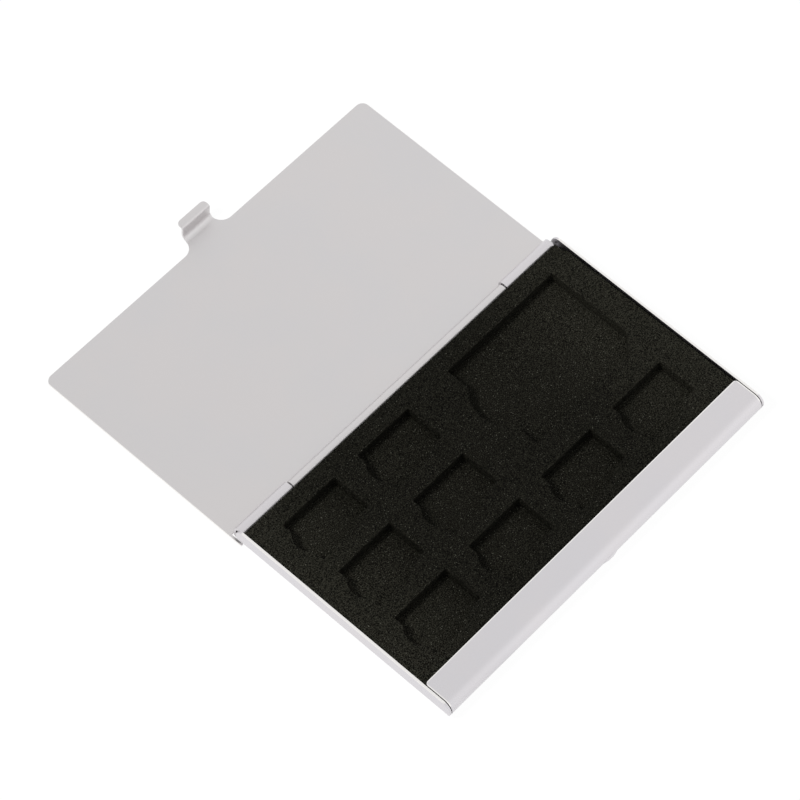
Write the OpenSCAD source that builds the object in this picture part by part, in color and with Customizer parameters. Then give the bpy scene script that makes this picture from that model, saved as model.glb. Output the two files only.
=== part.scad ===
// Hinged aluminium memory card case with die-cut foam, shown lying open.
// X runs along the hinge, -Y is the front, Z is up.
// The origin is the middle of the underside of the base.

/* [Case] */
// Length of the opening between the side walls, along the hinge
inner_length = 93; // [88:0.5:110]
// Depth of the base, from its front to the back of the end curls
case_depth = 57; // [54:0.5:70]
// Height of the base, from its underside to the tops of the side walls
base_height = 4.8; // [4.5:0.1:6.5]
// Thickness of the aluminium sheet
sheet = 0.5; // [0.4:0.05:0.6]
// Outer radius of the bends between the bottom and the side walls
side_bend_r = 2; // [1.2:0.1:2.2]

/* [Front strip and catch] */
// Width of the front strip, from the front of the case to its edge over the foam
strip_w = 7.2; // [5:0.1:9]
// Radius of the strip's two corners over the foam
strip_corner_r = 0.8; // [0.3:0.1:2]
// Gap between the ends of the front wrap and the side walls
strip_slit = 0.2; // [0.15:0.05:0.5]
// Length of the catch bump along the front
catch_len = 4; // [2:0.1:7]
// Height of the catch bump, up the front
catch_h = 1; // [0.6:0.1:1.4]
// How far the catch bump stands out from the front
catch_out = 0.3; // [0.15:0.05:0.5]
// Height of the middle of the catch bump above the underside
catch_z = 2.1; // [1.6:0.1:3]

/* [Hinge] */
// Radius of the hinge pin
pin_r = 0.7; // [0.5:0.05:0.8]
// Radial clearance between the pin and the curls
pin_clear = 0.04; // [0.01:0.01:0.1]
// Bevel on the ends of the pin
pin_bevel = 0.15; // [0.05:0.05:0.3]
// Length of each end curl on the base
end_curl_len = 14.25; // [8:0.05:25]
// How much further back the flange of an end curl stands than a tight curl
end_slack = 0.35; // [0:0.05:0.6]
// Gap between the end curls and the lid's curl
curl_gap = 0.35; // [0.2:0.05:0.6]
// Gap between an end curl and the side wall beside it, at the end where it is smaller
end_gap = 0.1; // [0.05:0.05:1.5]
// Gap between an end of the pin and the side wall beside it
pin_end_gap = 0.3; // [0.1:0.05:0.4]
// Gap from the lid's curl to the back edge of the bottom, and from the curls to the foam
curl_clear = 0.26; // [0.15:0.01:0.4]
// How far the rounded back ends of the side walls reach behind the pin's axis
nose_back = 0.6; // [0.2:0.1:0.9]
// Angle round the pin that a curl runs past its far side
curl_wrap = 75; // [30:5:100]

/* [Lid] */
// How far each side edge of the lid lies inside the outer face of a side wall
lid_inset = 0.2; // [0:0.05:0.5]
// How far the free edge of the closed lid lies behind the front of the case
lid_setback = 2.8; // [2.5:0.1:5]
// How far the lid and all the curls sit to one side of the middle of the case
lid_offset = -0.4; // [-0.4:0.1:0.4]
// Radius of the two corners at the lid's free edge
lid_corner_r = 1.8; // [0.5:0.1:4]
// Gap between the closed lid and the tops of the side walls
lid_gap = 0.05; // [0.03:0.01:0.2]
// How far the lid's ears reach past the pin's axis
ear_reach = 1.1; // [0.6:0.1:1.2]
// Gap behind the end curls, to the edge of the lid's notches
notch_back_gap = 0.35; // [0.2:0.05:0.6]
// Gap from the outer end of an end curl to the side of the lid's notch
notch_side_gap = 0.2; // [0.1:0.05:0.4]
// Radius of the corners of the lid's ears, beside the notches
ear_corner_r = 0.3; // [0.1:0.05:0.5]
// Gap under the rounded back ends of the side walls, to the open lid
nose_gap = 0.1; // [0.05:0.01:0.2]

/* [Thumb tab] */
// Width of the tab
tab_w = 7.9; // [5:0.1:16]
// How far the tab sits to one side of the middle of the lid
tab_offset = 0.3; // [-2:0.1:2]
// Radius of the fillets between the tab and the lid's free edge
tab_fillet_r = 2.8; // [1:0.1:3]
// Distance from the lid's free edge to the start of the tab's bend
tab_flat = 1.86; // [1.5:0.02:2.2]
// How far the tab reaches down from the inner face of the closed lid
tab_drop = 3.8; // [3.2:0.1:4.1]
// How far the tab's lip stands out from the inner face of its wall
lip_reach = 1.95; // [1.8:0.05:4]
// Inner radius of the bend between the tab's wall and its lip
lip_bend_r = 0.15; // [0.1:0.05:0.3]
// Radius of the lip's two corners
lip_corner_r = 1; // [0.3:0.1:1.2]
// Gap between the tab and the catch bump
tab_clear = 0.15; // [0.05:0.01:0.3]

/* [Foam] */
// Thickness of the adhesive film under the foam
tape_t = 0.15; // [0.1:0.05:0.3]
// Thickness of the foam sheet that makes the floor of the pockets
floor_foam_t = 1.5; // [1:0.1:2]
// How far the foam lies below the tops of the side walls
foam_drop = 0.25; // [0.1:0.05:0.5]
// Gap between the foam and the underside of the front strip
foam_strip_gap = 0.1; // [0.05:0.05:0.3]
// Gap between the foam and the side walls
foam_side_gap = 0.2; // [0.1:0.05:0.4]
// Gap between the foam and the inside of the front, at mid height
foam_front_gap = 1.6; // [1.4:0.1:3]
// How far the foam's top edge stays in front of the pin's axis
foam_lip = 0.83; // [0.6:0.01:1.1]
// How far the adhesive film stays inside the edges of the flat bottom
tape_inset = 0.2; // [0.1:0.1:2]

/* [Card pockets] */
// Length of a small card
small_card_l = 15; // [15:0.1:16]
// Width of a small card
small_card_w = 11; // [11:0.1:12]
// Width of a small card's narrow end
small_card_neck = 9.4; // [8:0.1:10]
// Distance from a small card's wide end to the start of its shoulder
small_card_shoulder = 8; // [6:0.1:10]
// Length of a small card's sloping shoulder
small_card_slope = 4; // [1:0.1:5]
// Length of the large card
large_card_l = 32; // [30:0.1:33]
// Width of the large card
large_card_w = 24; // [22:0.1:25]
// Size of the large card's cut corner
large_card_cut = 3.8; // [2:0.1:5]
// How much a pocket is smaller than its card, so that the foam grips it
grip = 0.2; // [0.1:0.05:0.4]
// Number of columns of small pockets
columns = 4; // [4:1:4]
// Number of rows of small pockets
rows = 3; // [3:1:3]
// Number of columns beside the large pocket, in the rows next to it
side_columns = 2; // [1:1:2]
// Foam left between the near wall and the first column
near_margin = 6.6; // [5:0.1:9]
// Foam left between the last column and the far wall
far_margin = 7.3; // [5:0.1:9]
// Foam left between the foam's hinge edge and the first row
hinge_margin = 4.45; // [3:0.05:6]
// Foam left between the last row and the edge of the front strip
strip_margin = 2.9; // [2:0.1:4]
// Foam left between the large pocket and the far wall
large_far_margin = 6.7; // [5:0.1:8]
// Radius of a small pocket's finger notch
small_notch_r = 3.95; // [3.2:0.05:5]
// How far a small pocket's finger notch reaches past the pocket
small_notch_out = 1.5; // [1:0.1:2.5]
// Radius of the large pocket's finger notch
large_notch_r = 7.9; // [6:0.1:10]
// How far the large pocket's finger notch reaches past the pocket
large_notch_out = 3.1; // [2:0.1:4]

/* [Hidden] */
$fn = 64;

// Outer faces of the case
outer_half = inner_length / 2 + sheet;
inner_half = inner_length / 2;
y_front = -case_depth / 2;
y_back = case_depth / 2;
z_top = base_height;

// Front wrap, a half round of the full height
wrap_r = base_height / 2;
y_wrap = y_front + wrap_r;
y_strip = y_front + strip_w;
wrap_half = inner_half - strip_slit;

// Hinge
bore_r = pin_r + pin_clear;
curl_r = bore_r + sheet;
y_pin = y_back - curl_r - end_slack;
z_pin = (base_height + lid_gap + sheet) / 2;
y_bottom_back = y_pin - curl_r - curl_clear;
end_curl_out = inner_half - abs(lid_offset) - end_gap;
lid_curl_half = end_curl_out - end_curl_len - curl_gap;
nose_r = (base_height - sheet - nose_gap) / 2;
y_nose = y_pin + nose_back - nose_r;

// Lid, lying open behind the hinge
lid_half = outer_half - lid_inset;
lid_reach = y_pin - y_front - lid_setback;
y_lid_edge = y_pin + lid_reach;
y_notch = y_pin + curl_r + end_slack + notch_back_gap;
notch_out = end_curl_out + notch_side_gap;

// Tab, bent up from the open lid's free edge
x_tab = lid_offset + tab_offset;
tab_half = tab_w / 2;
tab_reach = tab_half + tab_fillet_r;
y_tab_wall = y_pin + (y_pin - y_front) + catch_out + tab_clear;
y_tab_bend = y_lid_edge + tab_flat;
tab_bend_r = y_tab_wall - y_tab_bend;
z_lip = sheet + tab_drop;
lip_r = lip_bend_r + sheet;
y_lip_bend = y_tab_wall + lip_r;
y_lip_end = y_tab_wall + lip_reach;

// Catch bump, the rim of a disc set into the front
catch_rim = catch_h / 2;
catch_disc_r = (pow(catch_len / 2, 2) + pow(catch_out, 2)) / (2 * catch_out);
catch_root = 0.9 * sheet;

// Foam
foam_half = inner_half - foam_side_gap;
z_tape = sheet + tape_t;
z_floor = z_tape + floor_foam_t;
z_foam = z_top - foam_drop;
z_foam_front = z_top - sheet - foam_strip_gap;
y_foam_front = y_front + sheet + foam_front_gap;
y_foam_edge = y_pin - foam_lip;
foam_relief_r = curl_r + curl_clear;
foam_corner_r = side_bend_r - sheet - tape_t;
tape_half = outer_half - side_bend_r - tape_inset;

// Pockets
small_l = small_card_l - grip;
small_w = small_card_w - grip;
small_neck = small_card_neck - grip;
large_l = large_card_l - grip;
large_w = large_card_w - grip;
x_first = -inner_half + near_margin;
column_pitch = (inner_length - near_margin - far_margin - small_l) / (columns - 1);
y_first = y_foam_edge - hinge_margin;
row_pitch = (y_foam_edge - y_strip - hinge_margin - strip_margin - small_w) / (rows - 1);
x_large = inner_half - large_far_margin - large_l;

// A little more than a solid's own size, so that cuts pass clean through
over = 1;

// Overlap that joins neighbouring shapes into one
lap = 0.01;

// Extrudes a side view, drawn in Y and Z, from x0 to x1
module along_x(x0, x1) {
    translate([x0, 0, 0]) rotate([90, 0, 90]) linear_extrude(x1 - x0) children();
}

// Extrudes a front view, drawn in X and Z, from y0 to y1
module along_y(y0, y1) {
    translate([0, y1, 0]) rotate([90, 0, 0]) linear_extrude(y1 - y0) children();
}

// Extrudes a top view, drawn in X and Y, from z0 to z1
module along_z(z0, z1) {
    translate([0, 0, z0]) linear_extrude(z1 - z0) children();
}

// Flat rectangle between two corners
module box2(x0, y0, x1, y1) {
    translate([x0, y0]) square([x1 - x0, y1 - y0]);
}

// Bent sheet: the part of a ring from angle a0 to angle a1, less than 180 degrees
module bend(x, y, r_in, a0, a1) {
    r_out = r_in + sheet;
    far = 2 * r_out / cos((a1 - a0) / 4);
    mid = (a0 + a1) / 2;
    translate([x, y]) intersection() {
        difference() {
            circle(r_out);
            circle(r_in);
        }
        polygon([[0, 0], for (a = [a0, mid, a1]) far * [cos(a), sin(a)]]);
    }
}

// Tray section: flat bottom with two rounded lower corners, open upwards
module tray_section(half, z0, r, z1) {
    box2(-half, z0 + r, half, z1);
    box2(-half + r, z0, half - r, z0 + r + lap);
    for (s = [-1, 1]) translate([s * (half - r), z0 + r]) circle(r);
}

// Side view of the side walls: round front end, round nose at the back
module wall_view() {
    translate([y_wrap, wrap_r]) circle(wrap_r);
    box2(y_wrap, 0, min(y_nose, y_bottom_back), z_top);
    box2(y_wrap, z_top - 2 * nose_r, y_nose, z_top);
    translate([y_nose, z_top - nose_r]) circle(nose_r);
}

// Bottom and side walls, folded from one sheet
module channel() {
    intersection() {
        along_y(y_front - over, y_back + over) difference() {
            tray_section(outer_half, 0, side_bend_r, z_top);
            tray_section(inner_half, sheet, side_bend_r - sheet, z_top + over);
        }
        along_x(-outer_half - over, outer_half + over) wall_view();
    }
}

// Bottom sheet rolled round the front and back over the foam as the strip
module front_wrap() {
    intersection() {
        along_x(-wrap_half, wrap_half) {
            bend(y_wrap, wrap_r, wrap_r - sheet, 90, 180);
            bend(y_wrap, wrap_r, wrap_r - sheet, 180, 270);
            box2(y_wrap - lap, z_top - sheet, y_strip, z_top);
        }
        along_y(y_front - over, y_strip + over) tray_section(outer_half, 0, side_bend_r, z_top);
        along_z(-over, z_top + over) {
            box2(-wrap_half, y_front - over, wrap_half, y_strip - strip_corner_r);
            box2(-wrap_half + strip_corner_r, y_front, wrap_half - strip_corner_r, y_strip);
            for (s = [-1, 1])
                translate([s * (wrap_half - strip_corner_r), y_strip - strip_corner_r])
                    circle(strip_corner_r);
        }
    }
}

// Small round-edged bump pressed out of the front, which the tab snaps over
module catch_bump() {
    intersection() {
        translate([0, y_front - catch_out + catch_disc_r, catch_z]) {
            rotate_extrude() translate([catch_disc_r - catch_rim, 0]) circle(catch_rim);
            cylinder(r = catch_disc_r - catch_rim, h = catch_h, center = true);
        }
        along_z(0, z_top) box2(-catch_len, y_front - over, catch_len, y_front + catch_root);
    }
}

// Side view of an end curl: up behind the pin, over it and down in front
module end_curl_view() {
    y_flange = y_pin + end_slack;
    box2(y_bottom_back - over, 0, y_flange + lap, sheet);
    bend(y_flange, curl_r, bore_r, 270, 360);
    box2(y_flange + bore_r, curl_r - lap, y_flange + curl_r, z_pin + lap);
    bend(y_flange, z_pin, bore_r, 0, 90);
    box2(y_pin - lap, z_pin + bore_r, y_flange + lap, z_pin + curl_r);
    bend(y_pin, z_pin, bore_r, 90, 180);
    bend(y_pin, z_pin, bore_r, 180, 180 + curl_wrap);
}

// Side view of the lid's curl: round the end of the open lid, up and over the pin
module lid_curl_view() {
    box2(y_pin - lap, 0, y_notch, sheet);
    bend(y_pin, curl_r, bore_r, 180, 270);
    box2(y_pin - curl_r, curl_r - lap, y_pin - bore_r, z_pin + lap);
    bend(y_pin, z_pin, bore_r, 90, 180);
    bend(y_pin, z_pin, bore_r, 0, 90);
    bend(y_pin, z_pin, bore_r, -curl_wrap, 0);
}

// Top view of an ear beside a notch of the lid, from the notch outwards
module ear_view(w) {
    r = min(ear_corner_r, w / 2);
    y_ear = y_pin - ear_reach;
    box2(0, y_ear, w - r, y_notch + lap);
    box2(0, y_ear + r, w, y_notch + lap);
    translate([w - r, y_ear + r]) circle(r);
}

// Top view of the flat of the open lid, with notches for the end curls
module lid_plate_view() {
    x0 = lid_offset - lid_half;
    x1 = lid_offset + lid_half;
    box2(x0, y_notch, x1, y_lid_edge - lid_corner_r);
    box2(x0 + lid_corner_r, y_notch, x1 - lid_corner_r, y_lid_edge);
    for (x = [x0 + lid_corner_r, x1 - lid_corner_r])
        translate([x, y_lid_edge - lid_corner_r]) circle(lid_corner_r);
    for (m = [0, 1]) translate([lid_offset, 0]) mirror([m, 0])
        translate([notch_out, 0]) ear_view(lid_half - notch_out);
}

// Top view of the whole tab: a fillet on each side of its root, and rounded lip corners
module tab_outline() {
    translate([x_tab, 0]) {
        difference() {
            box2(-tab_reach, y_lid_edge - lap, tab_reach, y_lid_edge + tab_fillet_r);
            for (s = [-1, 1]) translate([s * tab_reach, y_lid_edge + tab_fillet_r]) circle(tab_fillet_r);
        }
        box2(-tab_half, y_lid_edge, tab_half, y_lip_end - lip_corner_r);
        box2(-tab_half + lip_corner_r, y_lid_edge, tab_half - lip_corner_r, y_lip_end);
        for (s = [-1, 1]) translate([s * (tab_half - lip_corner_r), y_lip_end - lip_corner_r])
            circle(lip_corner_r);
    }
}

// Side view of the tab: flat root, bend, wall, and lip turned outwards
module tab_view() {
    box2(y_lid_edge - over, 0, y_tab_bend + lap, sheet);
    bend(y_tab_bend, sheet + tab_bend_r, tab_bend_r, 270, 360);
    box2(y_tab_wall, sheet + tab_bend_r - lap, y_tab_wall + sheet, z_lip - lip_r + lap);
    bend(y_lip_bend, z_lip - lip_r, lip_bend_r, 90, 180);
    box2(y_lip_bend - lap, z_lip - sheet, y_lip_end, z_lip);
}

// Side view of the foam block between two heights, relieved round the curls
module foam_view(z0, z1, z_front) {
    difference() {
        union() {
            box2(y_foam_front, z0, y_strip + lap, z_front);
            box2(y_strip, z0, y_foam_edge, z1);
        }
        translate([y_pin, z_pin]) circle(foam_relief_r);
        box2(y_pin - foam_relief_r, -over, y_pin, z_pin);
    }
}

// Top view of a pocket for a small card, with its corner on the hinge side at the origin
module small_pocket_view() {
    polygon([[0, 0], [0, -small_w], [small_card_shoulder, -small_w],
        [small_card_shoulder + small_card_slope, -small_neck], [small_l, -small_neck], [small_l, 0]]);
    translate([small_notch_r - small_notch_out, -small_w / 2]) circle(small_notch_r);
}

// Top view of the pocket for the large card, with its corner on the hinge side at the origin
module large_pocket_view() {
    polygon([[0, 0], [0, -large_w], [large_l - large_card_cut, -large_w],
        [large_l, -large_w + large_card_cut], [large_l, 0]]);
    translate([large_notch_r - large_notch_out, -large_w / 2]) circle(large_notch_r);
}

// Aluminium base: bottom, side walls, front wrap and end curls in one sheet
module base_tray() {
    color("silver") {
        channel();
        front_wrap();
        catch_bump();
        for (x = [-end_curl_out, lid_curl_half + curl_gap])
            along_x(lid_offset + x, lid_offset + x + end_curl_len) end_curl_view();
    }
}

// Aluminium lid: flat plate with its long curl and its thumb tab
module lid() {
    color("gainsboro") {
        along_z(0, sheet) lid_plate_view();
        along_x(lid_offset - lid_curl_half, lid_offset + lid_curl_half) lid_curl_view();
        intersection() {
            along_x(x_tab - tab_reach, x_tab + tab_reach) tab_view();
            along_z(-over, z_lip + over) tab_outline();
        }
    }
}

// Steel wire pin through all the curls, with bevelled ends
module hinge_pin() {
    half = inner_half - pin_end_gap;
    color("dimgray") translate([-half, y_pin, z_pin]) rotate([0, 90, 0]) {
        cylinder(r1 = pin_r - pin_bevel, r2 = pin_r, h = pin_bevel);
        translate([0, 0, pin_bevel]) cylinder(r = pin_r, h = 2 * (half - pin_bevel));
        translate([0, 0, 2 * half - pin_bevel]) cylinder(r1 = pin_r, r2 = pin_r - pin_bevel, h = pin_bevel);
    }
}

// Upper foam sheet, cut right through where the cards go
module pocket_foam() {
    color([0.13, 0.13, 0.12]) difference() {
        along_x(-foam_half, foam_half) foam_view(z_floor, z_foam, z_foam_front);
        along_z(z_floor - over, z_foam + over) {
            for (row = [0:rows - 1]) for (column = [0:columns - 1])
                if (row == rows - 1 || column < side_columns)
                    translate([x_first + column * column_pitch, y_first - row * row_pitch])
                        small_pocket_view();
            translate([x_large, y_first]) large_pocket_view();
        }
    }
}

// Lower foam sheet, the floor of the pockets
module floor_foam() {
    color([0.18, 0.18, 0.17]) intersection() {
        along_x(-foam_half, foam_half) foam_view(z_tape, z_floor, z_floor);
        along_y(y_foam_front - over, y_back) tray_section(foam_half, z_tape, foam_corner_r, z_floor);
    }
}

// Adhesive film that holds the foam on the bottom of the tray
module foam_tape() {
    y0 = y_wrap + tape_inset;
    y1 = y_bottom_back - tape_inset;
    color("beige") along_z(sheet, z_tape) box2(-tape_half, y0, tape_half, y1);
}

base_tray();
lid();
hinge_pin();
pocket_foam();
floor_foam();
foam_tape();
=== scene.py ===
"""Looks of a hinged aluminium memory card case with die-cut foam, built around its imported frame.

Lengths are in metres, in the frame's own axes: X along the hinge, -Y the front, Z up.
"""

import math

import bmesh
import bpy
import numpy as np
from mathutils import Matrix, Vector
from mathutils.geometry import delaunay_2d_cdt


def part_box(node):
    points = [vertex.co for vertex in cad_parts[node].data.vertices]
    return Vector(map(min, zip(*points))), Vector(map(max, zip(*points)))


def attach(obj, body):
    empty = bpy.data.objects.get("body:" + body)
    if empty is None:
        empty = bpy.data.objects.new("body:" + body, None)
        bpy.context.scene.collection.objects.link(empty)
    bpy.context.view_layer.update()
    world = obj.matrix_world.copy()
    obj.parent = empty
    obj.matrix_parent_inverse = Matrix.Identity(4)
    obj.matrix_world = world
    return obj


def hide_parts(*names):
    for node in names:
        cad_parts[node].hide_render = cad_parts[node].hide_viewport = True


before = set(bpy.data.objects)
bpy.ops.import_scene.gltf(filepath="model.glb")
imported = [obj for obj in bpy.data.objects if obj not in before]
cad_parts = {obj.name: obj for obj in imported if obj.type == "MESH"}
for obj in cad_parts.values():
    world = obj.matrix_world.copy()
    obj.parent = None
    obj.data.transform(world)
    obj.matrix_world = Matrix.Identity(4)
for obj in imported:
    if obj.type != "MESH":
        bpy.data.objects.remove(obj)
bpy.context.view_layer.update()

MM = 0.001

# Camera, fitted to the straight edges of the case in the photograph
VIEW_AZIMUTH = -52.34
VIEW_ELEVATION = 59.97
VIEW_ROLL = 5.25
VIEW_DISTANCE = 771.7 * MM
VIEW_TARGET = Vector((-3.53, 23.9, 4.8)) * MM
LENS = 175.5
SENSOR = 36

# Studio sky: its strength at each place, and the part of a direction's X, Y or Z that joins two places
SKY_NEAR = 0.915
SKY_FAR = 1.1
NEAR_TO_FAR = (0.1, 0.7)
SKY_FRONT = 1.04
SKY_BACK = 0.93
FRONT_TO_BACK = (-0.2, 0.7)
SKY_OVERHEAD = 0.83
HORIZON_TO_OVERHEAD = (0.5, 1.0)
SKY_DIFFUSE = 0.5

# Key light and floor
KEY_DIRECTION = Vector((-0.56, 0.33, 0.75))
KEY_DISTANCE = 0.9
KEY_SIZE = 0.18
KEY_WATTS = 5.4
FLOOR_HALF = 3.0
FLOOR_DROP = 0.02 * MM
FLOOR_MATT = (0.9, 0.9, 0.9, 1)
FLOOR_GLOW = 0.94
FLOOR_GLOW_STRENGTH = 1.02
WHITE = (1, 1, 1, 1)

# Rounding of the sheet metal's edges
EDGE_WELD = 0.0005 * MM
EDGE_FLAT = math.radians(0.5)
EDGE_ROUND = 0.11 * MM
EDGE_SEGMENTS = 3
EDGE_ANGLE = math.radians(38)

# Patterns: how fine they are, and the part of a noise's range that is spread over 0 to 1
SKIN_GRAINS = 9000.0
WIRE_GRAINS = 20000.0
GRAIN_BAND = (0.2, 0.8)
CLOUDS_PER_METRE = 55.0
CLOUD_BAND = (0.35, 0.65)
SMUDGES_PER_METRE = 70.0
SMUDGE_BAND = (0.5, 0.75)
FIBRES_PER_METRE = 2500.0
FOAM_CELLS = 4800.0
CELL_BAND = (0.42, 0.60)
GLINTS_PER_CELL = 0.9
GLINT_BAND = (0.66, 0.78)
GLINT_SHIFT = (0.31, 0.17, 0.23)

# Hairline scratches: the turn of each direction, and its noise's scale along X, Y and Z
HAIRLINES = ((0.5, (60, 2600, 60)), (-1.1, (2200, 45, 45)))
HAIRLINE_BAND = (0.72, 0.78)

# Aluminium: two tints of each skin, and the pale bare metal of the cut edges, with a painted highlight in
# it
TRAY_TINTS = ((0.732, 0.714, 0.738, 1), (0.744, 0.72, 0.738, 1))
LID_TINTS = ((0.718, 0.701, 0.707, 1), (0.729, 0.705, 0.706, 1))
BARE_METAL_HIGHLIGHT = (0.98, 0.96, 0.94, 1)

# Aluminium: the range of its roughness, what smudges add, and what scratches and cut edges take off
SKIN_ROUGHNESS = (0.38, 0.46)
SMUDGE_DULLS = 0.05
SCRATCH_SHINES = 0.08
EDGE_SHINES = 0.1
MARKS_AMOUNT = 0.5
GRAIN_HEIGHT = 0.008 * MM

# Cut edges, painted as bare metal with a highlight: half the sheet, reach of a wall's top, the strip's
# sides and depth, and widths of rims
HALF_SHEET = 0.25 * MM
WALL_TOP_REACH = (0.4 * MM, 1, 0.06 * MM)
STRIP_SIDE = 0.7 * MM
STRIP_DEPTH = 0.7 * MM
STRIP_SIDE_RIM = 0.3 * MM
STRIP_BACK_RIM = 0.26 * MM
LID_RIM = 0.16 * MM
RIM_FADE = 0.1 * MM
FAR_BEYOND = 1

# Steel wire and adhesive film: two tints, and the range of the roughness
WIRE_DRAWN = (0.02, 1, 1)
WIRE_TINTS = ((0.42, 0.42, 0.43, 1), (0.55, 0.55, 0.55, 1))
WIRE_ROUGHNESS = (0.22, 0.34)
FILM_TINTS = ((0.62, 0.58, 0.47, 1), (0.75, 0.72, 0.62, 1))
FILM_ROUGHNESS = (0.3, 0.5)

# Foam: its dark tone, its light tone and its glints, then where along X painted light makes it paler, and
# how dark it starts
UPPER_TONES = ((0.0003, 0.0003, 0.0001, 1), (0.0330, 0.0321, 0.0241, 1), (0.11, 0.11, 0.09, 1))
LOWER_TONES = ((0.0004, 0.0004, 0.0001, 1), (0.0388, 0.0376, 0.0283, 1), (0.12, 0.12, 0.098, 1))
FOAM_DARKEST = -3 * MM
FOAM_END_LIGHT_SPAN = (20 * MM, 50 * MM)
DARKEST_SHARE = 0.5
CELL_HEIGHT = 0.05 * MM

# Foam: spacing of its points, how far they stray, and the rounding of its die-cut edges
TOP_PITCH = 0.32 * MM
FLOOR_PITCH = 0.36 * MM
CUT_PITCH = 0.26 * MM
PITCH_STRAY = 0.3
PITCH_CLEAR = 0.45
CUT_ROUND = 0.06 * MM
ROUND_ROWS = 4
WALL_ROWS = 7
UPPER_SEED = 7
LOWER_SEED = 11

# Foam: its fine relief, and its slow waves, as (radians per metre, phase) along X and along Y
SURFACE_RELIEF = 0.02 * MM
WAVE_HEIGHT = 0.03 * MM
UPPER_WAVES = ((190, 1.3), (240, 0.4))
LOWER_WAVES = ((150, 0.7), (170, 2.1))

# Foam: its fit in the tray
BACK_EDGE = 25.78 * MM
STRIP_PRESS = 0.35 * MM
STRIP_RAMP = 0.45 * MM
CURL_RELIEF = 1.5 * MM
FAR_EDGE = 46.0 * MM
FAR_CORNER_CUT = 0.6 * MM
FAR_CORNER_START = 22.4 * MM
FAR_CORNER_END = 24.2 * MM
LOWER_CORNER = 1.35 * MM

# Tolerances: grid that loose points are welded on, depth of a top face, and doubled points
WELD_GRID = 1e-7
TOP_DEPTH = 0.001 * MM
DOUBLED = 0.002 * MM

# Settings of the flat fill, which works in millimetres: triangles inside the outlines only
FILL_INSIDE = 1
FILL_TOLERANCE = 1e-7


def smooth(value, low, high):
    """0 below low, 1 above high, and 3t^2 - 2t^3 between them."""
    t = np.clip((value - low) / (high - low), 0, 1)
    return t * t * (3 - 2 * t)


def add_object(name, data):
    piece = bpy.data.objects.new(name, data)
    bpy.context.scene.collection.objects.link(piece)
    return piece


class Tree:
    """Short ways to add nodes to a node tree and to join them."""

    def __init__(self, tree):
        self.tree = tree

    def add(self, kind, settings=None, **inputs):
        """New node. Inputs are given by name, with _ for a space, or by number as i0, i1."""
        node = self.tree.nodes.new(kind)
        for key, value in (settings or {}).items():
            setattr(node, key, value)
        for key, value in inputs.items():
            numbered = key[0] == "i" and key[1:].isdigit()
            self.put(node.inputs[int(key[1:]) if numbered else key.replace("_", " ")], value)
        return node

    def put(self, socket, value):
        """Joins another node's output to an input, or sets the input to a plain value."""
        if isinstance(value, bpy.types.NodeSocket):
            self.tree.links.new(value, socket)
        else:
            socket.default_value = value

    def math(self, operation, a, b=0.0, clamp=False):
        settings = {"operation": operation, "use_clamp": clamp}
        return self.add("ShaderNodeMath", settings, i0=a, i1=b).outputs[0]

    def vector_math(self, operation, a, b=(0, 0, 0)):
        return self.add("ShaderNodeVectorMath", {"operation": operation}, i0=a, i1=b).outputs[0]

    def parts(self, vector):
        """X, Y and Z of a vector."""
        return self.add("ShaderNodeSeparateXYZ", None, i0=vector).outputs

    def mix(self, share, a, b):
        """Blend of two colours."""
        node = self.add("ShaderNodeMix", {"data_type": "RGBA"}, i0=share, i6=a, i7=b)
        return node.outputs[2]

    def remap(self, value, low, high, to_low=0.0, to_high=1.0):
        """Smooth step from to_low, where the value is low, to to_high."""
        settings = {"interpolation_type": "SMOOTHSTEP"}
        ends = {"i1": low, "i2": high, "i3": to_low, "i4": to_high}
        return self.add("ShaderNodeMapRange", settings, i0=value, **ends).outputs[0]

    def noise(self, vector, per_metre, detail, roughness=0.5):
        inputs = {"Vector": vector, "Scale": per_metre, "Detail": detail, "Roughness": roughness}
        return self.add("ShaderNodeTexNoise", None, **inputs).outputs["Fac"]

    def bump(self, height, strength, distance):
        inputs = {"Strength": strength, "Distance": distance, "Height": height}
        return self.add("ShaderNodeBump", None, **inputs).outputs[0]

    def group(self, group, **inputs):
        return self.add("ShaderNodeGroup", {"node_tree": group}, **inputs).outputs


def cleared_tree(owner):
    """Emptied node tree of a material or a world."""
    owner.use_nodes = True
    owner.node_tree.nodes.clear()
    return Tree(owner.node_tree)


def new_group(name, inputs, outputs):
    """Empty shader node group. Inputs are given as name: (kind, default), and outputs as names."""
    group = bpy.data.node_groups.new(name, "ShaderNodeTree")
    for label, (kind, default) in inputs.items():
        socket = group.interface.new_socket(name=label, in_out="INPUT", socket_type=kind)
        socket.default_value = default
    for label in outputs:
        group.interface.new_socket(name=label, in_out="OUTPUT", socket_type="NodeSocketFloat")
    t = Tree(group)
    return group, t, t.add("NodeGroupInput").outputs, t.add("NodeGroupOutput").inputs


def blasted_grain():
    """Grain of fine-blasted metal, and slow clouds of tint in its anodised skin."""
    group, t, given, made = new_group(
        "blasted_grain",
        {"Place": ("NodeSocketVector", (0, 0, 0)), "Grains per metre": ("NodeSocketFloat", SKIN_GRAINS)},
        ["Grain", "Clouds"],
    )
    place = given["Place"]
    t.put(made["Grain"], t.noise(place, given["Grains per metre"], detail=2.0, roughness=0.6))
    t.put(made["Clouds"], t.noise(place, CLOUDS_PER_METRE, detail=3.0, roughness=0.55))
    return group


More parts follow.
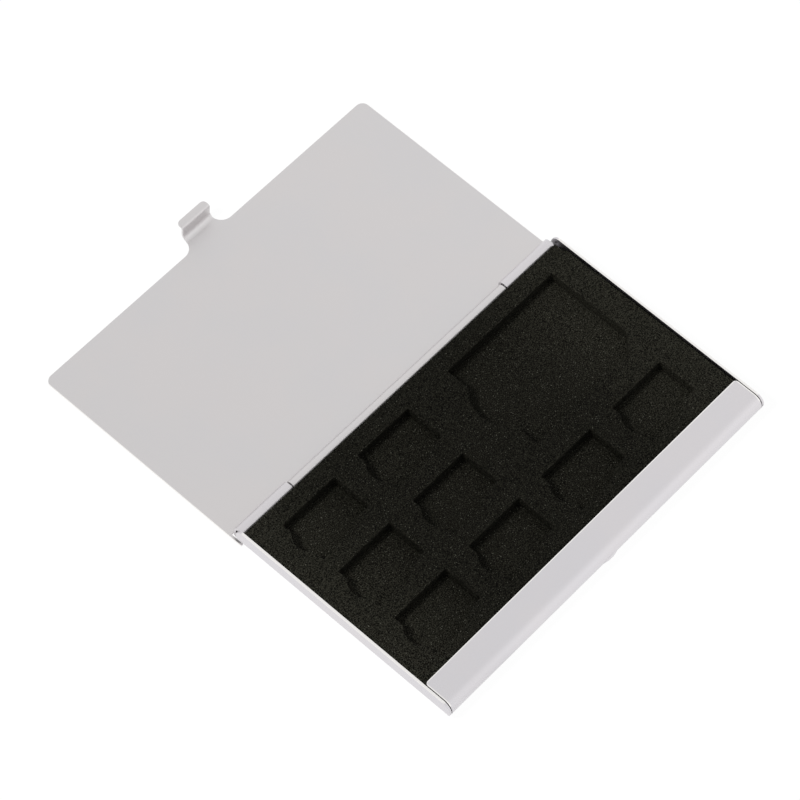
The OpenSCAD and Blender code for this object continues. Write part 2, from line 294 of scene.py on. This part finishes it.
def handling_marks():
    """Hairline scratches in two directions, and finger smudges, each from 0 to Amount."""
    group, t, given, made = new_group(
        "handling_marks",
        {"Place": ("NodeSocketVector", (0, 0, 0)), "Amount": ("NodeSocketFloat", 1.0)},
        ["Scratches", "Smudges"],
    )
    place, amount = given["Place"], given["Amount"]
    lines = []
    for turn, scale in HAIRLINES:
        laid = t.add("ShaderNodeMapping", None, Vector=place, Rotation=(0, 0, turn), Scale=scale)
        lines.append(t.remap(t.noise(laid.outputs[0], 1.0, detail=1.0), *HAIRLINE_BAND))
    scratches = t.math("MAXIMUM", *lines)
    smudges = t.remap(t.noise(place, SMUDGES_PER_METRE, detail=4.0, roughness=0.6), *SMUDGE_BAND)
    t.put(made["Scratches"], t.math("MULTIPLY", scratches, amount))
    t.put(made["Smudges"], t.math("MULTIPLY", smudges, amount))
    return group


def near_box():
    """1 inside a box with a centre and a reach along each axis, falling to 0 over the fade around it."""
    group, t, given, made = new_group(
        "near_box",
        {
            "Place": ("NodeSocketVector", (0, 0, 0)),
            "Centre": ("NodeSocketVector", (0, 0, 0)),
            "Reach": ("NodeSocketVector", (1, 1, 1)),
            "Fade": ("NodeSocketFloat", RIM_FADE),
        },
        ["Inside"],
    )
    away = t.vector_math("ABSOLUTE", t.vector_math("SUBTRACT", given["Place"], given["Centre"]))
    past = t.parts(t.vector_math("SUBTRACT", away, given["Reach"]))
    furthest = t.math("MAXIMUM", t.math("MAXIMUM", past[0], past[1]), past[2])
    faded = t.math("DIVIDE", furthest, given["Fade"], clamp=True)
    t.put(made["Inside"], t.math("SUBTRACT", 1.0, faded, clamp=True))
    return group


def foam_cells():
    """Closed cells of a cut foam: an uneven tone, glinting specks, and the height of the cut bubbles."""
    group, t, given, made = new_group(
        "foam_cells",
        {"Place": ("NodeSocketVector", (0, 0, 0)), "Cells per metre": ("NodeSocketFloat", FOAM_CELLS)},
        ["Tone", "Glint", "Height"],
    )
    place, rate = given["Place"], given["Cells per metre"]
    t.put(made["Tone"], t.remap(t.noise(place, rate, detail=3.0, roughness=0.65), *CELL_BAND))
    elsewhere = t.vector_math("ADD", place, GLINT_SHIFT)
    specks = t.noise(elsewhere, t.math("MULTIPLY", rate, GLINTS_PER_CELL), detail=1.0)
    t.put(made["Glint"], t.remap(specks, *GLINT_BAND))
    bubbles = t.add("ShaderNodeTexVoronoi", {"feature": "SMOOTH_F1"}, Vector=place, Scale=rate)
    t.put(made["Height"], t.math("POWER", bubbles.outputs["Distance"], 2.0))
    return group


def new_material(name):
    """Material with an empty Principled shader, and the piece's own coordinates for its patterns."""
    material = bpy.data.materials.new(name)
    t = cleared_tree(material)
    shader = t.add("ShaderNodeBsdfPrincipled")
    t.add("ShaderNodeOutputMaterial", None, Surface=shader.outputs[0])
    return material, t, shader.inputs, t.add("ShaderNodeTexCoord").outputs["Object"]


def aluminium(name, groups, tints, bare_highlit_edges):
    """Fine-blasted clear anodised aluminium, smoother and brighter on its bare cut edges, where the
    brightness is partly a painted highlight.

    bare_highlit_edges(t, place, boxes) builds the mask of those edges, for bare metal and a painted
    highlight.
    """
    material, t, shader, place = new_material(name)
    skin = t.group(groups["grain"], Place=place)
    marks = t.group(groups["marks"], Place=place, Amount=MARKS_AMOUNT)
    edges = bare_highlit_edges(t, place, groups["boxes"])
    tinted = t.mix(t.remap(skin["Clouds"], *CLOUD_BAND), *tints)
    # Painted highlight: the cut edges get a paler colour than the skin, on top of being bare metal.
    t.put(shader["Base Color"], t.mix(edges, tinted, BARE_METAL_HIGHLIGHT))
    satin = t.remap(skin["Grain"], *GRAIN_BAND, *SKIN_ROUGHNESS)
    handled = t.math("ADD", satin, t.math("MULTIPLY", marks["Smudges"], SMUDGE_DULLS))
    scratched = t.math("SUBTRACT", handled, t.math("MULTIPLY", marks["Scratches"], SCRATCH_SHINES))
    t.put(shader["Roughness"], t.math("SUBTRACT", scratched, t.math("MULTIPLY", edges, EDGE_SHINES)))
    t.put(shader["Normal"], t.bump(skin["Grain"], strength=0.25, distance=GRAIN_HEIGHT))
    shader["Metallic"].default_value = 1.0
    return material


def tray_bare_highlit_edges(t, place, boxes):
    """Mask of bare metal with a painted highlight: the tops of the side walls, and the rim of the front
    strip over the foam.

    The walls are one box, mirrored in X. The strip is a box that runs far forwards from its back
    edge, and its rim is what a smaller box inside it leaves.
    """
    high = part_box("base_tray")[1]
    sideways = t.vector_math("ABSOLUTE", t.vector_math("MULTIPLY", place, (1, 0, 0)))
    mirrored = t.vector_math("ADD", t.vector_math("MULTIPLY", place, (0, 1, 1)), sideways)
    wall = (high.x - HALF_SHEET, 0, high.z)
    tops = t.group(boxes, Place=mirrored, Centre=wall, Reach=WALL_TOP_REACH)["Inside"]
    centre = (0, strip_edge() - FAR_BEYOND, high.z)
    side = high.x - STRIP_SIDE
    strip = t.group(boxes, Place=place, Centre=centre, Reach=(side, FAR_BEYOND, STRIP_DEPTH))["Inside"]
    inner = (side - STRIP_SIDE_RIM, FAR_BEYOND - STRIP_BACK_RIM, FAR_BEYOND)
    flat = t.group(boxes, Place=place, Centre=centre, Reach=inner)["Inside"]
    return t.math("MAXIMUM", tops, t.math("SUBTRACT", strip, flat, clamp=True))


def lid_bare_highlit_edges(t, place, boxes):
    """Mask of bare metal with a painted highlight on the rims at the lid's two ends: everything but a box
    that stops just short of them.
    """
    low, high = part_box("lid")
    middle = (low + high) / 2
    half = (high - low) / 2
    reach = (half.x - LID_RIM, half.y, FAR_BEYOND)
    inner = t.group(boxes, Place=place, Centre=tuple(middle), Reach=reach)["Inside"]
    return t.math("SUBTRACT", 1.0, inner)


def steel_wire(name, groups):
    """Drawn steel wire: a blasted grain drawn out into fine lines along X."""
    material, t, shader, place = new_material(name)
    drawn = t.add("ShaderNodeMapping", None, Vector=place, Scale=WIRE_DRAWN).outputs[0]
    lines = t.group(groups["grain"], Place=drawn, Grains_per_metre=WIRE_GRAINS)["Grain"]
    t.put(shader["Base Color"], t.mix(lines, *WIRE_TINTS))
    t.put(shader["Roughness"], t.remap(lines, *GRAIN_BAND, *WIRE_ROUGHNESS))
    shader["Metallic"].default_value = 1.0
    return material


def adhesive_film(name):
    """Waxy double-sided film with short fibres in it."""
    material, t, shader, place = new_material(name)
    fibres = t.noise(place, FIBRES_PER_METRE, detail=3.0)
    t.put(shader["Base Color"], t.mix(fibres, *FILM_TINTS))
    t.put(shader["Roughness"], t.remap(fibres, *GRAIN_BAND, *FILM_ROUGHNESS))
    return material


def black_foam(name, groups, dark, light, glint):
    """Black foam with uneven cells and a few glinting specks, and painted light that makes it paler
    towards the two ends of the case.
    """
    material, t, shader, place = new_material(name)
    cells = t.group(groups["cells"], Place=place)
    # Painted light: the foam is paler towards the two end walls, and darkest near the middle.
    away = t.math("ABSOLUTE", t.math("SUBTRACT", t.parts(place)[0], FOAM_DARKEST))
    paler = t.remap(away, *FOAM_END_LIGHT_SPAN, DARKEST_SHARE, 1.0)
    tone = t.math("MULTIPLY", cells["Tone"], paler)
    t.put(shader["Base Color"], t.mix(cells["Glint"], t.mix(tone, dark, light), glint))
    shader["Roughness"].default_value = 0.8
    shader["Specular IOR Level"].default_value = 0.05
    t.put(shader["Normal"], t.bump(cells["Height"], strength=0.6, distance=CELL_HEIGHT))
    return material


def soften_edges(node):
    """Rounds the sheet's sharp edges: welds loose triangles, merges flat faces, bevels, evens normals."""
    weld = node.modifiers.new("weld", "WELD")
    weld.merge_threshold = EDGE_WELD
    flat = node.modifiers.new("flat", "DECIMATE")
    flat.decimate_type = "DISSOLVE"
    flat.angle_limit = EDGE_FLAT
    bevel = node.modifiers.new("edges", "BEVEL")
    bevel.limit_method = "ANGLE"
    bevel.angle_limit = EDGE_ANGLE
    bevel.width = EDGE_ROUND
    bevel.segments = EDGE_SEGMENTS
    bevel.use_clamp_overlap = True
    node.modifiers.new("normals", "WEIGHTED_NORMAL")


def dress_hard_parts(groups):
    """Finishes for the parts that keep the frame's own shape, and rounded edges for the two sheets."""
    finishes = {
        "base_tray": aluminium("tray_aluminium", groups, TRAY_TINTS, tray_bare_highlit_edges),
        "lid": aluminium("lid_aluminium", groups, LID_TINTS, lid_bare_highlit_edges),
        "hinge_pin": steel_wire("pin_steel", groups),
        "foam_tape": adhesive_film("adhesive_film"),
    }
    for node, finish in finishes.items():
        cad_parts[node].material_slots[0].material = finish
    for node in ("base_tray", "lid"):
        soften_edges(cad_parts[node])


def outlines(node):
    """Closed outlines of a node's highest flat face, as arrays of X and Y, outer one first.

    The loose triangles are welded, those that lie at the top are kept, and the edges that only one
    of them has are chained. The face is on the left of each outline.
    """
    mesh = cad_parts[node].data
    points = np.empty(len(mesh.vertices) * 3)
    mesh.vertices.foreach_get("co", points)
    mesh.calc_loop_triangles()
    corners = np.empty(len(mesh.loop_triangles) * 3, int)
    mesh.loop_triangles.foreach_get("vertices", corners)
    snapped = np.round(points.reshape(-1, 3) / WELD_GRID)
    welded, index = np.unique(snapped, axis=0, return_inverse=True)
    welded = welded * WELD_GRID
    triangles = index.ravel()[corners.reshape(-1, 3)]
    top = welded[:, 2].max() - TOP_DEPTH
    triangles = triangles[(welded[triangles][:, :, 2] > top).all(axis=1)]
    edges = {(int(a), int(b)) for tri in triangles for a, b in zip(tri, np.roll(tri, -1))}
    follows = {a: b for a, b in edges if (b, a) not in edges}
    loops = []
    while follows:
        start, following = follows.popitem()
        chain = [start]
        while following != start:
            chain.append(following)
            following = follows.pop(following)
        loops.append(welded[chain][:, :2])
    return sorted(loops, key=lambda loop: -np.ptp(loop, axis=0).prod())


def strip_edge():
    """Y of the front strip's back edge, where the foam's full height begins."""
    return outlines("pocket_foam")[0][:, 1].min()


def resample(loop, pitch):
    """Closed outline with points one pitch apart along its length.

    Each point then moves twice to (before + 2 here + after) / 4, which eases the corners a little.
    """
    closed = np.vstack([loop, loop[:1]])
    along = np.concatenate([[0], np.cumsum(np.hypot(*np.diff(closed, axis=0).T))])
    count = round(along[-1] / pitch)
    places = np.arange(count) * along[-1] / count
    evened = np.stack([np.interp(places, along, closed[:, i]) for i in (0, 1)], axis=-1)
    for _ in range(2):
        evened = (np.roll(evened, 1, axis=0) + 2 * evened + np.roll(evened, -1, axis=0)) / 4
    return evened


def leftward(loop):
    """Unit vectors from each point of an outline into the face on its left."""
    tangent = np.roll(loop, -1, axis=0) - np.roll(loop, 1, axis=0)
    tangent /= np.hypot(*tangent.T)[:, None]
    return np.stack([-tangent[:, 1], tangent[:, 0]], axis=-1)


def unit_rectangle(pitch, width, depth):
    """Anticlockwise outline of a unit square, its points one pitch apart when it is width by depth."""
    x = np.arange(round(width / pitch)) / round(width / pitch)
    y = np.arange(round(depth / pitch)) / round(depth / pitch)
    sides = [(x, 0 * x), (0 * y + 1, y), (1 - x, 0 * x + 1), (0 * y, 1 - y)]
    return np.concatenate([np.stack(side, axis=-1) for side in sides])


def inside_any(points, loops):
    """True for each point inside one of the outlines: counts the edges that a ray along +X crosses."""
    found = np.zeros(len(points), bool)
    for loop in loops:
        a, b = loop, np.roll(loop, -1, axis=0)
        near = ((points > loop.min(0)) & (points < loop.max(0))).all(axis=1)
        p = points[near][:, None, :]
        crosses = (a[:, 1] > p[..., 1]) != (b[:, 1] > p[..., 1])
        slope = (b[:, 0] - a[:, 0]) / np.where(a[:, 1] == b[:, 1], 1, b[:, 1] - a[:, 1])
        right = p[..., 0] < a[:, 0] + (p[..., 1] - a[:, 1]) * slope
        found[near] |= (crosses & right).sum(axis=1) % 2 == 1
    return found


def fill(outer, holes, inner):
    """Points and triangles of the flat area between an outline and its holes, through inner points."""
    loops = [outer, *(hole[::-1] for hole in holes)]
    starts = np.cumsum([len(inner)] + [len(loop) for loop in loops])
    rings = [list(range(starts[i], starts[i + 1])) for i in range(len(loops))]
    points = [Vector(p) for p in np.concatenate([inner, *loops]) / MM]
    made = delaunay_2d_cdt(points, [], rings, FILL_INSIDE, FILL_TOLERANCE)
    keep = [tri for tri, sources in zip(made[2], made[5]) if sources == [0]]
    return np.array([v[:] for v in made[0]]) * MM, np.array(keep)


def band(rings):
    """Quads between neighbouring closed rings of equally many points, given from the top down."""
    index = np.arange(sum(len(ring) for ring in rings)).reshape(len(rings), -1)
    a, b = index[:-1], index[1:]
    return np.stack([b, np.roll(b, -1, axis=1), np.roll(a, -1, axis=1), a], axis=-1).reshape(-1, 4)


def cut_rows(thickness):
    """Rows down a die cut, as (inset, share of the thickness).

    A quarter round of radius r, with inset r - r sin a and fall r - r cos a, then a straight wall.
    """
    turn = np.linspace(0, math.pi / 2, ROUND_ROWS + 1)
    round_edge = np.stack([CUT_ROUND * (1 - np.sin(turn)), CUT_ROUND * (1 - np.cos(turn))], axis=-1)
    falls = np.linspace(CUT_ROUND, thickness, WALL_ROWS + 1)[1:]
    rows = np.concatenate([round_edge, np.stack([0 * falls, falls], axis=-1)])
    return rows / (1, thickness)


def inner_points(outline, square, holes, size, pitch, rng):
    """Points of the top about one pitch apart, straying at random, clear of the side and the holes."""
    step = (pitch / size[0], pitch / size[1])
    grid = np.stack(np.meshgrid(np.arange(0, 1, step[0]), np.arange(0, 1, step[1])), axis=-1)
    grid = grid.reshape(-1, 2)
    grid = grid + rng.uniform(-PITCH_STRAY, PITCH_STRAY, grid.shape) * step
    places = np.stack(outline(*np.clip(grid, 0, 1).T, 0, 0), axis=-1)
    clear = CUT_ROUND + PITCH_CLEAR * pitch
    border = np.stack(outline(*square, clear, 0), axis=-1)
    rims = [hole + leftward(hole) * clear for hole in holes]
    return places[inside_any(places, [border]) & ~inside_any(places, rims)]


def sheet_parts(outline, holes, size, pitch, rng):
    """Top, underside, side, and each hole's wall, for a sheet of that width, depth and thickness.

    Each is (X and Y of its points, their share of the thickness below the top, its faces).
    """
    width, depth, thickness = size
    square = unit_rectangle(pitch, width, depth).T
    rows = cut_rows(thickness)
    side = [np.stack(outline(*square, inset, share), axis=-1) for inset, share in rows]
    walls = [[hole + leftward(hole) * inset for inset, _ in rows] for hole in holes]
    inner = inner_points(outline, square, holes, size, pitch, rng)
    flat, triangles = fill(side[0], [wall[0] for wall in walls], inner)
    parts = [(flat, 0, triangles)]
    flat, triangles = fill(side[-1], [wall[-1] for wall in walls], np.empty((0, 2)))
    parts.append((flat, 1, triangles[:, ::-1]))
    for rings in (side, *walls):
        shares = np.repeat(rows[:, 1], len(rings[0]))
        parts.append((np.concatenate(rings), shares, band(rings)))
    return parts


def join_parts(mesh):
    """Merges the points that neighbouring parts of a sheet share."""
    shell = bmesh.new()
    shell.from_mesh(mesh)
    bmesh.ops.remove_doubles(shell, verts=shell.verts, dist=DOUBLED)
    shell.to_mesh(mesh)
    shell.free()


def foam_sheet(name, holes, outline, top, size, low, pitch, seed):
    """Closed foam sheet with a slightly uneven top, rounded cut edges, and holes right through it.

    outline(u, v, inset, share) gives X and Y of the place (u, v) of a unit square on the sheet, that
    far inside its side and at that share of its thickness below the top. top(x, y) gives the height
    of the top, low is the height of the underside, and size is width, depth and thickness. A point
    lies at top + (low - top) share, and at last every point moves a little at random.
    """
    rng = np.random.default_rng(seed)
    points, faces, count = [], [], 0
    for flat, share, part_faces in sheet_parts(outline, holes, size, pitch, rng):
        height = top(flat[:, 0], flat[:, 1])
        points.append(np.column_stack([flat, height + (low - height) * share]))
        faces.extend((part_faces + count).tolist())
        count += len(flat)
    mesh = bpy.data.meshes.new(name)
    mesh.from_pydata(np.concatenate(points), [], faces)
    join_parts(mesh)
    co = np.empty(len(mesh.vertices) * 3)
    mesh.vertices.foreach_get("co", co)
    mesh.vertices.foreach_set("co", co + rng.uniform(-1, 1, len(co)) * SURFACE_RELIEF)
    mesh.shade_smooth()
    return add_object(name, mesh)


def slow_waves(x, y, waves):
    """A sine along X times a sine along Y, less 1, so from -2 to 0."""
    (x_rate, x_phase), (y_rate, y_phase) = waves
    return np.sin(x_rate * x + x_phase) * np.sin(y_rate * y + y_phase) - 1


def upper_foam():
    """Die-cut upper sheet: pressed down under the strip, hollowed round the curls, short at the far wall.

    Its back is a straight edge, or the circle y = pin's y - sqrt(relief^2 - rise^2) where that comes
    further forwards, with the rise above the pin's axis.
    """
    low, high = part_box("pocket_foam")
    pin_low, pin_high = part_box("hinge_pin")
    pin = (pin_low + pin_high) / 2
    thickness = high.z - low.z
    strip_back = strip_edge()

    def outline(u, v, inset, share):
        rise = np.clip(high.z - share * thickness - pin.z, 0, CURL_RELIEF)
        back = min(BACK_EDGE, pin.y - math.sqrt(CURL_RELIEF ** 2 - rise ** 2))
        y = low.y + inset + v * (back - low.y - 2 * inset)
        far = FAR_EDGE - FAR_CORNER_CUT * smooth(y, FAR_CORNER_START, FAR_CORNER_END)
        return low.x + inset + u * (far - low.x - 2 * inset), y

    def top(x, y):
        press = 1 - smooth(y, strip_back, strip_back + STRIP_RAMP)
        return high.z + WAVE_HEIGHT * slow_waves(x, y, UPPER_WAVES) - STRIP_PRESS * press

    holes = [resample(loop, CUT_PITCH) for loop in outlines("pocket_foam")[1:]]
    return foam_sheet("upper_foam", holes, outline, top, high - low, low.z, TOP_PITCH, UPPER_SEED)


def lower_foam():
    """Plain lower sheet, tucked in along the rounded lower corners of the tray.

    The tuck is r - sqrt(r^2 - drop^2), with the corner's radius r and the drop below its centre.
    """
    low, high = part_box("floor_foam")
    thickness = high.z - low.z

    def outline(u, v, inset, share):
        drop = np.clip(LOWER_CORNER - (1 - share) * thickness, 0, LOWER_CORNER)
        tuck = inset + LOWER_CORNER - math.sqrt(LOWER_CORNER ** 2 - drop ** 2)
        y = low.y + inset + v * (high.y - low.y - 2 * inset)
        return low.x + tuck + u * (high.x - low.x - 2 * tuck), y

    def top(x, y):
        return high.z + WAVE_HEIGHT * slow_waves(x, y, LOWER_WAVES)

    return foam_sheet("lower_foam", [], outline, top, high - low, low.z, FLOOR_PITCH, LOWER_SEED)


def make_camera():
    """Camera on a sphere round its target, then rolled about its own axis."""
    azimuth, elevation, roll = map(math.radians, (VIEW_AZIMUTH, VIEW_ELEVATION, VIEW_ROLL))
    back = Vector((
        math.sin(azimuth) * math.cos(elevation),
        -math.cos(azimuth) * math.cos(elevation),
        math.sin(elevation),
    ))
    level = (-back).cross(Vector((0, 0, 1))).normalized()
    upright = level.cross(-back)
    right = math.cos(roll) * level + math.sin(roll) * upright
    up = -math.sin(roll) * level + math.cos(roll) * upright
    data = bpy.data.cameras.new("camera")
    data.lens = LENS
    data.sensor_width = SENSOR
    data.clip_start = 0.01
    data.clip_end = 20
    camera = add_object("camera", data)
    turn = Matrix((right, up, back)).transposed().to_4x4()
    camera.matrix_world = Matrix.Translation(VIEW_TARGET + back * VIEW_DISTANCE) @ turn
    bpy.context.scene.camera = camera


def seen_rays(t):
    """1 for camera, glossy and transmission rays, else 0."""
    path = t.add("ShaderNodeLightPath").outputs
    seen = t.math("ADD", path["Is Camera Ray"], path["Is Glossy Ray"], clamp=True)
    return t.math("ADD", seen, path["Is Transmission Ray"], clamp=True)


def make_world():
    """White studio sky, dimmest overhead and brightest at the far end.

    Diffuse surfaces get a plain, even light from it instead.
    """
    world = bpy.data.worlds.new("studio")
    bpy.context.scene.world = world
    t = cleared_tree(world)
    towards = t.parts(t.add("ShaderNodeTexCoord").outputs["Generated"])
    horizon = t.remap(towards["Y"], *FRONT_TO_BACK, SKY_FRONT, SKY_BACK)
    across = t.remap(towards["X"], *NEAR_TO_FAR, SKY_NEAR, SKY_FAR)
    upwards = t.remap(towards["Z"], *HORIZON_TO_OVERHEAD, horizon, SKY_OVERHEAD)
    sky = t.math("MULTIPLY", across, upwards)
    more = t.math("MULTIPLY", seen_rays(t), t.math("SUBTRACT", sky, SKY_DIFFUSE))
    strength = t.math("ADD", SKY_DIFFUSE, more)
    background = t.add("ShaderNodeBackground", None, Color=WHITE, Strength=strength)
    t.add("ShaderNodeOutputWorld", None, Surface=background.outputs[0])


def make_key_light():
    """Soft light from above the near end. The metal mirrors only the studio, and not this light."""
    data = bpy.data.lights.new("key", "AREA")
    data.shape = "DISK"
    data.size = KEY_SIZE
    data.energy = KEY_WATTS
    light = add_object("key", data)
    light.visible_glossy = False
    direction = KEY_DIRECTION.normalized()
    turn = direction.to_track_quat("Z", "Y").to_matrix().to_4x4()
    light.matrix_world = Matrix.Translation(direction * KEY_DISTANCE) @ turn


def floor_material():
    """White that glows for the camera and in reflections, and is plain matt for all other rays."""
    material = bpy.data.materials.new("floor_white")
    t = cleared_tree(material)
    matt = t.add("ShaderNodeBsdfDiffuse", None, Color=FLOOR_MATT).outputs[0]
    glow = t.add("ShaderNodeEmission", None, Color=WHITE, Strength=FLOOR_GLOW_STRENGTH).outputs[0]
    share = t.math("MULTIPLY", seen_rays(t), FLOOR_GLOW)
    both = t.add("ShaderNodeMixShader", None, i0=share, i1=matt, i2=glow).outputs[0]
    t.add("ShaderNodeOutputMaterial", None, Surface=both)
    return material


def make_floor():
    """Plain white floor that keeps a faint shadow of the object."""
    mesh = bpy.data.meshes.new("floor")
    corners = [(-1, -1), (1, -1), (1, 1), (-1, 1)]
    points = [(x * FLOOR_HALF, y * FLOOR_HALF, -FLOOR_DROP) for x, y in corners]
    mesh.from_pydata(points, [], [(0, 1, 2, 3)])
    mesh.materials.append(floor_material())
    add_object("floor", mesh)


make_camera()
make_world()
make_key_light()
make_floor()
bpy.context.scene.view_settings.view_transform = "Standard"

shared = {
    "grain": blasted_grain(),
    "marks": handling_marks(),
    "boxes": near_box(),
    "cells": foam_cells(),
}
dress_hard_parts(shared)

upper = upper_foam()
upper.data.materials.append(black_foam("upper_foam", shared, *UPPER_TONES))
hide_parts("pocket_foam")
lower = lower_foam()
lower.data.materials.append(black_foam("lower_foam", shared, *LOWER_TONES))
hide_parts("floor_foam")
for foam in (upper, lower):
    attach(foam, "base")
